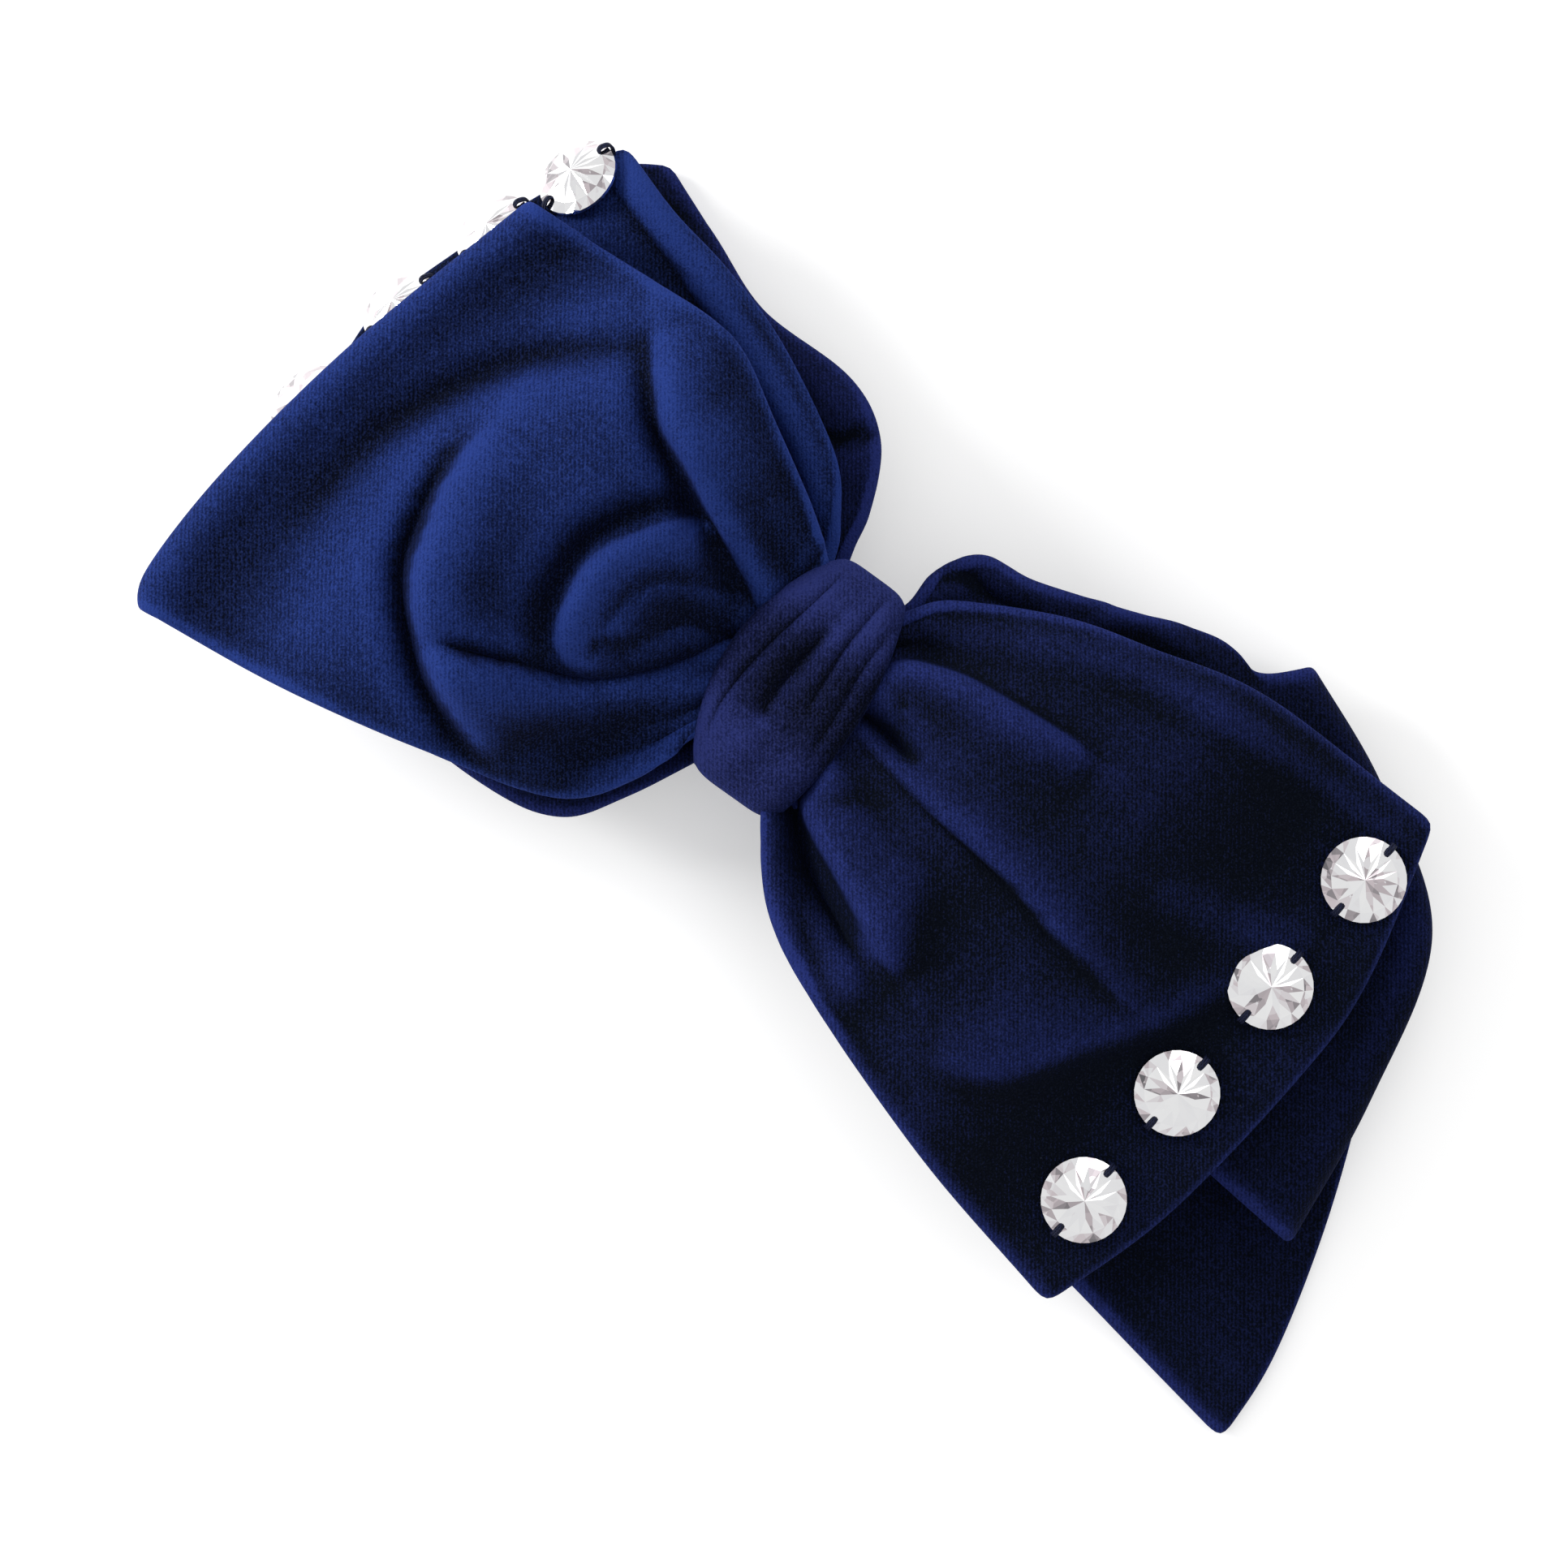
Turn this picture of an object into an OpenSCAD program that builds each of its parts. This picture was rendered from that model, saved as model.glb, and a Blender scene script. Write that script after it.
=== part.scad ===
// Velvet hair bow on a French barrette.
// Origin: midway between the ends of the clip, on the plane where its back rests.
// +X runs towards the jewelled front tail, +Z towards the front of the bow.

/* [Velvet panels] */
// Thickness of a doubled velvet panel
panel_t = 3; // [2.4:0.1:3.1]
// Width of the jewelled tails at their hems
tail_w = 97; // [92:1:100]
// Width of the loops along their outer folds
loop_w = 90; // [86:1:94]
// Reach of the front tail's hem from the knot
front_tail_reach = 94; // [90:1:98]
// Reach of the front loop's fold from the knot
front_loop_reach = 89; // [86:1:92]
// Reach of the pointed under tail from the knot
under_tail_reach = 116.5; // [112:0.5:120]
// Height of the front loop's hollow at its fullest
front_loop_puff = 12.5; // [10:0.5:14]
// Height of the back loop's hollow at its fullest
back_loop_puff = 7.5; // [6:0.5:8]

/* [Knot] */
// Length of the knot across the bow
knot_w = 41.2; // [40:0.1:44]
// Width of the knot along the bow
knot_l = 20.5; // [18:0.5:21]
// Thickness of the knot's wrap
wrap_t = 2.1; // [1.6:0.1:2.2]

/* [Crystals] */
// Diameter of a sew-on crystal
crystal_d = 14; // [12:0.5:16]
// Thickness of a crystal
crystal_h = 4.4; // [3.6:0.2:5]
// Distance between neighbouring crystals on the front tail
crystal_pitch = 23; // [21:0.5:24]
// Diameter of the sewing holes
sew_hole_d = 1.3; // [1.2:0.1:1.6]

/* [Barrette] */
// Length of the barrette's base
clip_l = 84; // [80:1:90]
// Width of the barrette's base
clip_w = 9; // [8:0.5:10]
// Thickness of the barrette's sheet steel
steel_t = 0.8; // [0.6:0.1:0.9]
// Height of the top of the barrette's base at its middle
clip_h = 13.6; // [13.2:0.1:13.8]
// Diameter of the hinge pin
pin_d = 1.6; // [1.4:0.1:1.8]

/* [Hidden] */

$fn = 48;
NAVY = [0.05, 0.09, 0.30];
DARK_NAVY = [0.03, 0.05, 0.17];
STEEL = [0.72, 0.73, 0.75];
CRYSTAL = [0.90, 0.91, 0.93];
gap = 0.2;

// Heights at the waist, from the clip upwards
waist_z = 14.5;
waist_hw = 16.8;
neck_x = 12;
back_layer_z = waist_z + panel_t + gap;
front_loop_z = back_layer_z + panel_t + gap;
back_loop_top = back_layer_z + 2 * panel_t + gap;
front_tail_z = back_loop_top + gap;
waist_top = front_loop_z + 9.1;

// Directions in which the lobes leave the knot
left_turn = 170;
back_right_turn = 35;

// Lobes' profiles are drawn from behind the waist outwards
profile_start = -13;
profile_end = 140;
profile_steps = 22;
edge_steps = 7;

// Lobes in plan: [centre of the outer edge, its width, its tilt, how far it bows out,
// upper shoulder, lower shoulder]
front_tail = [[front_tail_reach, -7.5], tail_w, 2.4, 8, [30, 44], [30, -49]];
front_loop = [[-front_loop_reach, -7.5], loop_w, 9, 4, [-30, 44], [-16, -50]];
back_tail = [[-86, 8], tail_w - 3, 11, 7, [-25, 40], [-16, -40]];
back_loop = [[92, 13.5], loop_w, -35, 18, [12, 37], [60, -15]];
under_left = [[-82, 10], tail_w - 4, 8.6, 2, [-6, 50], [-10, -58]];
under_tail = [[under_tail_reach, -15.5], tail_w - 12, -17, 2, [40, 30], [44, -48]];

function ease(from, to, x) =
    let (s = min(1, max(0, (x - from) / (to - from)))) s * s * (3 - 2 * s);
function bend(a, b, c, t) = (1 - t) * (1 - t) * a + 2 * t * (1 - t) * b + t * t * c;
function curve(a, b, c) = [for (i = [0:edge_steps]) bend(a, b, c, i / edge_steps)];
function along(lobe) = [sin(lobe[2]), cos(lobe[2])];
function outward(lobe) = sign(lobe[0][0]) * [cos(lobe[2]), -sin(lobe[2])];
function corner(lobe, side) = lobe[0] + side * lobe[1] / 2 * along(lobe);
function edge_control(lobe) = lobe[0] + 2 * lobe[3] * outward(lobe);
function on_edge(lobe, t) = bend(corner(lobe, 1), edge_control(lobe), corner(lobe, -1), t);

// Plan of a lobe: neck, upper flank, outer edge and lower flank
function plan(lobe) =
    let (x = sign(lobe[0][0]) * neck_x, upper = corner(lobe, 1), lower = corner(lobe, -1))
    concat(
        [[0, -waist_hw], [0, waist_hw]],
        curve([x, waist_hw], lobe[4], upper),
        curve(upper, edge_control(lobe), lower),
        curve(lower, lobe[5], [x, -waist_hw])
    );

// Plan of a loop's hollow: a wall's thickness inside its fold, open at both flanks
function hollow_plan(loop) =
    let (
        wider = 1.4,
        bow = wider * wider * loop[3],
        inner = [
            loop[0] + (loop[3] - bow - panel_t) * outward(loop),
            wider * loop[1], loop[2], bow
        ],
        neck = sign(loop[0][0]) * [neck_x, 0]
    )
    concat(
        [neck - loop[1] * along(loop), neck + loop[1] * along(loop)],
        curve(corner(inner, 1), edge_control(inner), corner(inner, -1))
    );

// Undersides of the lobes, as heights over the distance from the knot
under_drop = waist_z - 0.1;
under_left_low = function (x) waist_z - under_drop * ease(15, 80, x);
under_right_low = function (x) waist_z - under_drop * ease(20, 60, x);
function bent_down(x, start, over) =
    let (d = max(0, x - start)) d < over ? d * d / (2 * over) : d - over / 2;
back_tail_low = function (x) back_layer_z - 0.9 * bent_down(x, 73, 12);
back_loop_low = function (x) back_layer_z - 12.2 * ease(20, 60, x);
front_loop_low = function (x) front_loop_z + 1.2 * ease(15, 60, x);
front_tail_low = function (x)
    front_tail_z + 5.6 * ease(12, 35, x) - 9.5 * ease(52, 82, x);

// Half heights of the loops, from the waist over the crest to the fold
front_neck = 4.5;
front_loop_half = function (x)
    front_neck + (front_loop_puff - front_neck) * ease(12, 40, x) * (1 - ease(46, 88, x));
back_neck = panel_t + 0.1;
back_loop_half = function (x)
    back_neck + (back_loop_puff - back_neck) * ease(24, 46, x) * (1 - 0.5 * ease(40, 62, x));

module panel_profile(low) {
    xs = [for (i = [0:profile_steps])
        profile_start + (profile_end - profile_start) * i / profile_steps];
    polygon(concat(
        [for (x = xs) [x, low(x)]],
        [for (i = [profile_steps:-1:0]) [xs[i], low(xs[i]) + panel_t]]
    ));
}

// Closed teardrop of a loop with a rounded nose; inset makes the hollow inside it
module loop_profile(low, half, reach, nose, inset) {
    xs = [for (i = [0:profile_steps])
        profile_start + (reach - profile_start) * sin(90 * i / profile_steps)];
    rounding = function (x) sqrt(max(0, 1 - pow(max(0, x - reach + nose) / nose, 2)));
    height = function (x) max(0, half(x) - inset) * rounding(x);
    polygon(concat(
        [for (x = xs) [x, low(x) + half(x) - height(x)]],
        [for (i = [profile_steps - 1:-1:0]) [xs[i], low(xs[i]) + half(xs[i]) + height(xs[i])]]
    ));
}

// What stands over a plan and inside a profile seen along the outer edge
module lobe(turn, outline) {
    intersection() {
        translate([0, 0, -1]) linear_extrude(60) polygon(outline);
        rotate([0, 0, turn]) rotate([90, 0, 0]) linear_extrude(300, center = true) children();
    }
}

module loop(turn, shape, low, half, reach) {
    nose = 16;
    difference() {
        lobe(turn, plan(shape)) loop_profile(low, half, reach, nose, 0);
        lobe(turn, hollow_plan(shape)) loop_profile(low, half, reach, nose, panel_t);
    }
}

module under_panel_left() {
    color(DARK_NAVY) lobe(left_turn, plan(under_left)) panel_profile(under_left_low);
}

module under_tail_right() {
    color(DARK_NAVY) lobe(back_right_turn, plan(under_tail)) panel_profile(under_right_low);
}

module jewel_tail_left() {
    color(NAVY) lobe(left_turn, plan(back_tail)) panel_profile(back_tail_low);
}

module jewel_tail_right() {
    color(NAVY) lobe(0, plan(front_tail)) panel_profile(front_tail_low);
}

module loop_back_right() {
    reach = back_loop[0] * outward(back_loop) + back_loop[3] + 2;
    color(DARK_NAVY) loop(back_right_turn, back_loop, back_loop_low, back_loop_half, reach);
}

module loop_front_left() {
    reach = front_loop_reach + front_loop[3];
    color(NAVY) loop(left_turn, front_loop, front_loop_low, front_loop_half, reach);
}

// Flat ring around the waist, standing in the YZ plane
module waist_ring(inner_hw, low, high, wall, length, round_r) {
    rotate([90, 0, 90])
        linear_extrude(length, center = true)
            difference() {
                rounded_box(inner_hw + wall, low - wall, high + wall, round_r);
                translate([-inner_hw, low]) square([2 * inner_hw, high - low]);
            }
}

module rounded_box(half_w, low, high, r) {
    for (side = [-1, 1], z = [low + r, high - r])
        translate([side * (half_w - r), z]) circle(r);
    translate([-half_w + r, low]) square([2 * (half_w - r), high - low]);
    translate([-half_w, low + r]) square([2 * half_w, high - low - 2 * r]);
}

// The wrap also holds the middle of the barrette's arched base
binding_t = 0.6;
binding_l = 7;
knot_shift = -1;
arc_r = 100;
function arc_fall(r, x) = r - sqrt(r * r - x * x);
wrap_low = clip_h - steel_t - arc_fall(arc_r, knot_l / 2 - knot_shift) - gap;
wrap_high = waist_top + gap + binding_t + gap;

module waist_binding() {
    color(DARK_NAVY)
        waist_ring(waist_hw + 0.05, waist_z - 0.05, waist_top + 0.1, binding_t, binding_l, 0.5);
}

module knot_wrap() {
    inner_hw = knot_w / 2 - wrap_t;
    color(DARK_NAVY)
        translate([knot_shift, 0, 0])
            waist_ring(inner_hw, wrap_low, wrap_high, wrap_t, knot_l, 2.5);
}

// Two-hole crystal: small flat back, thin girdle, low cone in front
girdle_low = 1.2;
girdle_high = 2;
hole_at = crystal_d * 0.38;

module crystal() {
    color(CRYSTAL)
        difference() {
            rotate_extrude()
                polygon([
                    [0, 0], [crystal_d * 0.22, 0], [crystal_d / 2, girdle_low],
                    [crystal_d / 2, girdle_high], [crystal_d * 0.06, crystal_h], [0, crystal_h]
                ]);
            for (side = [-1, 1])
                translate([0, side * hole_at, -1]) cylinder(h = crystal_h + 2, d = sew_hole_d);
        }
}

// Stitches of one crystal: up through each hole, over the rim and down outside it
module crystal_thread() {
    thread_r = sew_hole_d / 2 - 0.15;
    rim = crystal_d / 2 + thread_r + 0.2;
    over = girdle_high + 1.1 + thread_r;
    color(NAVY)
        for (turn = [90, -90])
            rotate([0, 0, turn]) {
                translate([hole_at, 0, 0]) cylinder(h = over, r = thread_r);
                translate([hole_at, 0, over])
                    rotate([0, 90, 0]) cylinder(h = rim - hole_at, r = thread_r);
                translate([rim, 0, 0.1]) cylinder(h = over - 0.1, r = thread_r);
                for (x = [hole_at, rim])
                    translate([x, 0, over]) sphere(thread_r);
            }
}

// Rows of crystals along the two jewelled hems
row_turn = -5.2;
row_start = [front_tail_reach - 1.7, 28.1];
back_row = [0.09, 0.26, 0.47, 0.7];
back_inset = 3.6;
sit = 0.1;

module at_front_crystal(i) {
    at = row_start + i * crystal_pitch * [sin(row_turn), -cos(row_turn)];
    translate([at[0], at[1], front_tail_low(at[0] - crystal_d / 2) + panel_t + sit])
        rotate([0, 0, row_turn]) children();
}

module at_back_crystal(i) {
    at = on_edge(back_tail, back_row[i]) - back_inset * outward(back_tail);
    away = at * [cos(left_turn), sin(left_turn)];
    step = 0.5;
    slope = atan((back_tail_low(away - step) - back_tail_low(away + step)) / (2 * step));
    translate([at[0], at[1], back_tail_low(away) + panel_t])
        rotate([0, 0, left_turn]) rotate([0, slope, 0])
            translate([0, 0, 2 * sit]) children();
}

// The barrette: everything bends over the arc of its base
arc_half = clip_l / 2 - 6;
hinge_x = -clip_l / 2 + 3;
tab_top = clip_h - arc_fall(arc_r, arc_half);
tab_low = tab_top - steel_t;
ear_r = 1.8;
hinge_z = ear_r;
ear_y = clip_w / 2;
knuckle_hw = ear_y - 0.2;

// Strip bent to a radius, its top at the given height over the origin
module bent_strip(r, half_l, top, thick, width) {
    rotate([90, 0, 0])
        linear_extrude(width, center = true)
            intersection() {
                translate([0, top - r])
                    difference() {
                        circle(r, $fn = 360);
                        circle(r - thick, $fn = 360);
                    }
                translate([-half_l, 0]) square([2 * half_l, top + 1]);
            }
}

module barrette_base() {
    tab_l = clip_l / 2 - arc_half + 0.5;
    color(STEEL)
        difference() {
            union() {
                bent_strip(arc_r, arc_half, clip_h, steel_t, clip_w);
                for (side = [-1, 1])
                    translate([side * (clip_l / 2 - tab_l / 2), 0, tab_low + steel_t / 2])
                        cube([tab_l, clip_w, steel_t], center = true);
                for (side = [-1, 1])
                    translate([hinge_x, side * (ear_y + steel_t / 2), 0])
                        rotate([90, 0, 0])
                            linear_extrude(steel_t + 0.02, center = true) {
                                translate([0, hinge_z]) circle(ear_r);
                                translate([-ear_r, hinge_z])
                                    square([2 * ear_r, tab_top - hinge_z]);
                            }
            }
            translate([hinge_x, 0, hinge_z])
                rotate([90, 0, 0]) cylinder(h = clip_w + 10, d = pin_d, center = true);
        }
}

module hinge_pin() {
    head_t = 0.5;
    color(STEEL)
        translate([hinge_x, 0, hinge_z])
            rotate([90, 0, 0]) {
                cylinder(h = clip_w + 2 * steel_t + 0.1, d = pin_d, center = true);
                for (side = [-1, 1])
                    translate([0, 0, side * (ear_y + steel_t + 0.02 + head_t / 2)])
                        cylinder(h = head_t, d = pin_d + 1, center = true);
            }
}

// The leaf passes under the knot and rises flatter than the base until their ends meet
leaf_t = 0.4;
leaf_half = arc_half - 5.5;
leaf_top = wrap_low - wrap_t - gap;
leaf_end = clip_h - steel_t - arc_fall(arc_r, leaf_half) - 0.07;
leaf_fall = leaf_top - leaf_end;
leaf_r = (leaf_half * leaf_half + leaf_fall * leaf_fall) / (2 * leaf_fall);

module tension_leaf() {
    color(STEEL)
        bent_strip(leaf_r, leaf_half, leaf_top, leaf_t, clip_w - 2.4);
}

arm_r = 400;
arm_top = 4.2;
arm_end = clip_l / 2 - 1;
window_l = 6;
window_hw = 3.9;
window_x = clip_l / 2 - 5;
knuckle_r = 1.6;
running_fit = 0.05;

module clasp_arm() {
    color(STEEL)
        difference() {
            union() {
                intersection() {
                    bent_strip(arm_r, clip_l, arm_top, steel_t, 2 * knuckle_hw);
                    translate([hinge_x, -clip_w, 0])
                        cube([arm_end - hinge_x, 2 * clip_w, 10]);
                }
                intersection() {
                    bent_strip(arm_r, clip_l, arm_top, steel_t, clip_w + 1.4);
                    translate([window_x - window_l / 2 - 1.2, -clip_w, 0])
                        cube([window_l + 2.4, 2 * clip_w, 10]);
                }
                translate([hinge_x, 0, hinge_z])
                    rotate([90, 0, 0])
                        cylinder(h = 2 * knuckle_hw, r = knuckle_r, center = true);
            }
            translate([hinge_x, 0, hinge_z])
                rotate([90, 0, 0])
                    cylinder(h = clip_w, d = pin_d + 2 * running_fit, center = true);
            translate([window_x - window_l / 2, -window_hw, 0])
                cube([window_l, 2 * window_hw, 10]);
        }
}

wing_t = 0.5;
wing_y = 3.1;
wing_l = 4.4;
wing_pivot_z = tab_low - 1.3;
pivot_r = 0.4;
bracket_t = 0.5;

// Bracket riveted under the free end of the base; it carries the two wings
module catch_bracket() {
    color(STEEL)
        translate([window_x, 0, 0]) {
            translate([0, 0, tab_low - bracket_t / 2])
                cube([wing_l + 2.6, 2 * wing_y + 1.6, bracket_t], center = true);
            for (side = [-1, 1])
                translate([0, side * wing_y, wing_pivot_z])
                    rotate([0, 90, 0])
                        cylinder(h = wing_l + 2, r = pivot_r - running_fit, center = true);
            for (end = [-1, 1], side = [-1, 1])
                translate([end * (wing_l / 2 + 0.7), side * wing_y, tab_low - 0.9])
                    cube([0.8, 0.9, 1.8], center = true);
        }
}

// Spring wing: hangs through the window in the arm, with a finger lip above it
module catch_wing(side) {
    wing_low = 1.2;
    lip_z = 3.9;
    color(STEEL)
        translate([window_x, 0, 0])
            mirror([0, side < 0 ? 1 : 0, 0])
                difference() {
                    union() {
                        translate([-wing_l / 2, wing_y - wing_t / 2, wing_low])
                            cube([wing_l, wing_t, wing_pivot_z - wing_low]);
                        translate([0, wing_y, wing_pivot_z])
                            rotate([0, 90, 0])
                                cylinder(h = wing_l, r = pivot_r + 0.3, center = true);
                        translate([-wing_l / 2, wing_y, wing_low])
                            cube([wing_l, wing_t / 2 + 0.4, 0.5]);
                        translate([-wing_l / 2 + 0.4, wing_y, lip_z])
                            cube([wing_l - 0.8, 3, wing_t]);
                    }
                    translate([0, wing_y, wing_pivot_z])
                        rotate([0, 90, 0])
                            cylinder(h = wing_l + 2, r = pivot_r, center = true);
                }
}

under_panel_left();
under_tail_right();
jewel_tail_left();
loop_back_right();
loop_front_left();
jewel_tail_right();
waist_binding();
knot_wrap();
at_front_crystal(0) crystal();  // crystal_front_1
at_front_crystal(1) crystal();  // crystal_front_2
at_front_crystal(2) crystal();  // crystal_front_3
at_front_crystal(3) crystal();  // crystal_front_4
at_back_crystal(0) crystal();  // crystal_back_1
at_back_crystal(1) crystal();  // crystal_back_2
at_back_crystal(2) crystal();  // crystal_back_3
at_back_crystal(3) crystal();  // crystal_back_4
at_front_crystal(0) crystal_thread();  // thread_front_1
at_front_crystal(1) crystal_thread();  // thread_front_2
at_front_crystal(2) crystal_thread();  // thread_front_3
at_front_crystal(3) crystal_thread();  // thread_front_4
at_back_crystal(0) crystal_thread();  // thread_back_1
at_back_crystal(1) crystal_thread();  // thread_back_2
at_back_crystal(2) crystal_thread();  // thread_back_3
at_back_crystal(3) crystal_thread();  // thread_back_4
barrette_base();
hinge_pin();
tension_leaf();
clasp_arm();
catch_bracket();
catch_wing(1);  // catch_wing_upper
catch_wing(-1);  // catch_wing_lower
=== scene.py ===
"""Looks of a velvet hair bow with sew-on crystals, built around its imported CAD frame.

Shapes are worked out in millimetres in the CAD's frame and turned into metres when a mesh is made.
"""

import math

import bpy
import numpy as np
from mathutils import Matrix, Vector


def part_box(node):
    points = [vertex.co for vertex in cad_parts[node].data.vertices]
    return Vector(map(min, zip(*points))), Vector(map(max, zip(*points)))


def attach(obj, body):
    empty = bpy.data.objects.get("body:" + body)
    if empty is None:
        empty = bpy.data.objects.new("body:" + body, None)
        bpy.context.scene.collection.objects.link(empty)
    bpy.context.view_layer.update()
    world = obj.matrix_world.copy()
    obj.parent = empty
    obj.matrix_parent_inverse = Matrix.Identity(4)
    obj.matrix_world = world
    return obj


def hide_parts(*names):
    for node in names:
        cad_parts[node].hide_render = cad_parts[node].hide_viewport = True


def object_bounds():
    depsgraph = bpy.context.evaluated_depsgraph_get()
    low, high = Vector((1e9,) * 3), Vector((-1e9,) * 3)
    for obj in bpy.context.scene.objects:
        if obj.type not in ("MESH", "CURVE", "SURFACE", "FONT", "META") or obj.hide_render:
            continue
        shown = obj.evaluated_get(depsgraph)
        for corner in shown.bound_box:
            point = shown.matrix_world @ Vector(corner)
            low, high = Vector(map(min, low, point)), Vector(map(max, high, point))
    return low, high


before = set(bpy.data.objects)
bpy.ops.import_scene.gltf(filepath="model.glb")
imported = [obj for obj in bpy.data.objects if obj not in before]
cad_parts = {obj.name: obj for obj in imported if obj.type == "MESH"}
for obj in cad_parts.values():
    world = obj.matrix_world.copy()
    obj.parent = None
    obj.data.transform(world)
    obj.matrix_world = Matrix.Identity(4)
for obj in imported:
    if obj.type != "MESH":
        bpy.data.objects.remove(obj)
cad_low, cad_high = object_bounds()

MM = 0.001
CLOTH_T = 2.6  # a doubled velvet panel
KNOT_T = 2.1  # the wrap of the knot
GRID = 1.42  # spacing of the cloth's points
LEFT_TURN = 170
FRONT_RIGHT_TURN = 0
BACK_RIGHT_TURN = 35
PICTURE_TURN = math.radians(36)
PAINTED_LIGHT_FROM = (-0.95, 0.31)  # plan direction of the key light; slopes facing it get a painted highlight
RIB_SPACING = 0.00068  # of the velvet's ground, in metres
TWIST_SPACING = 0.0003  # of the sewing thread's twist, in metres
SHEEN_TINT = (0.12, 0.2, 1)
VIEW_CENTRE = (7.05, -14.6)  # the place in plan under the middle of the picture
CAMERA_HEIGHT = 1.0
LENS = 138

# Each velvet: its name, its colour under full painted shade, under full painted light and of its painted
# glint, how far its painted light is lifted everywhere, and the weight of its sheen. All are copies of one
# navy
# velvet: the tail and under copies are darker with a lower lift, painted shade, so that the front left loop
# looks lit and the rest shaded.
VELVETS = {
    "velvet": (
        "velvet_navy", (0.0013, 0.0022, 0.007), (0.014, 0.032, 0.165), (0.005, 0.007, 0.015),
        0.05, 0.12,
    ),
    "velvet_tail_shaded": (
        "velvet_tail_shaded", (0.0018, 0.0028, 0.006), (0.016, 0.026, 0.140), (0.003, 0.004, 0.007),
        -0.18, 0.07,
    ),
    "velvet_dark": (
        "velvet_under_shaded", (0.0016, 0.0026, 0.006), (0.014, 0.022, 0.120), (0.002, 0.003, 0.006),
        -0.18, 0.07,
    ),
    "velvet_knot": (
        "velvet_knot", (0.0016, 0.0024, 0.006), (0.019, 0.027, 0.130), (0.006, 0.007, 0.012),
        -0.02, 0.12,
    ),
}

# Where each lobe's cloth lies in plan: its lower and upper flank from the waist outwards, and its
# outer edge from the lower corner to the upper one.
LOBES = {
    "loop_front_left": {
        "lower": [(-4, -13), (-9, -15.5), (-13, -27), (-22, -37.5), (-45, -44), (-71, -49.3), (-95, -52)],
        "upper": [
            (-4, 13), (-9, 18.5), (-16, 23.8), (-28.6, 31),
            (-38.7, 36.8), (-46, 38.2), (-58, 37.7), (-82, 36.4),
        ],
        "edge": [(-95, -52), (-97.6, -46), (-96.6, -26), (-91.6, 2), (-82, 36.4)],
    },
    "jewel_tail_left": {
        "lower": [(-4, -13), (-10, -16), (-30, -33), (-60, -38), (-86, -34)],
        "upper": [
            (-4, 13), (-8, 18), (-10.5, 24), (-17.5, 32.8),
            (-35.2, 42.6), (-50, 47.4), (-63, 50), (-76, 54),
        ],
        "edge": [(-86, -34), (-92, -12), (-94.5, 9), (-91.5, 18), (-88.5, 26), (-85, 35.5), (-76, 54)],
    },
    "under_panel_left": {
        "lower": [(-4, -13), (-7, -19), (-13, -31), (-20, -40), (-34, -43), (-66, -42)],
        "upper": [(-4, 13), (-7, 22), (-8.6, 30), (-14, 40), (-24, 45.2), (-42, 46), (-56, 51.5), (-70, 57)],
        "edge": [(-66, -42), (-84, -14), (-82, 22), (-79, 44), (-76.5, 52.5), (-70, 57)],
    },
    "jewel_tail_right": {
        "lower": [(4, -13), (7.5, -20.5), (17.6, -32.2), (32, -39.7), (62, -50), (92, -57)],
        "upper": [(4, 13), (8, 20), (12.4, 25), (28, 33), (42.5, 37.2), (63, 42), (97, 41.5)],
        "edge": [(92, -57), (99.5, -34), (103.6, -5), (103.6, 14), (97, 41.5)],
    },
    "loop_back_right": {
        "lower": [(4, -13), (10, -16), (40, -17), (80, -22), (119, -26)],
        "upper": [
            (4, 13), (7, 21), (7.4, 28), (12, 34), (21, 35.4),
            (33, 39.5), (51, 46), (60, 45.4), (67, 51.5),
        ],
        "edge": [(119, -26), (116, 1), (108.5, 28), (88, 42.5), (67, 51.5)],
    },
    "under_tail_right": {
        "lower": [(4, -13), (10, -18), (34, -38), (70, -48), (101, -54), (130, -59)],
        "upper": [(4, 13), (9, 18), (40, 24), (75, 25), (104, 24)],
        "edge": [(130, -59), (129, -43), (123, -20), (114, 3), (104, 24)],
    },
}

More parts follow.
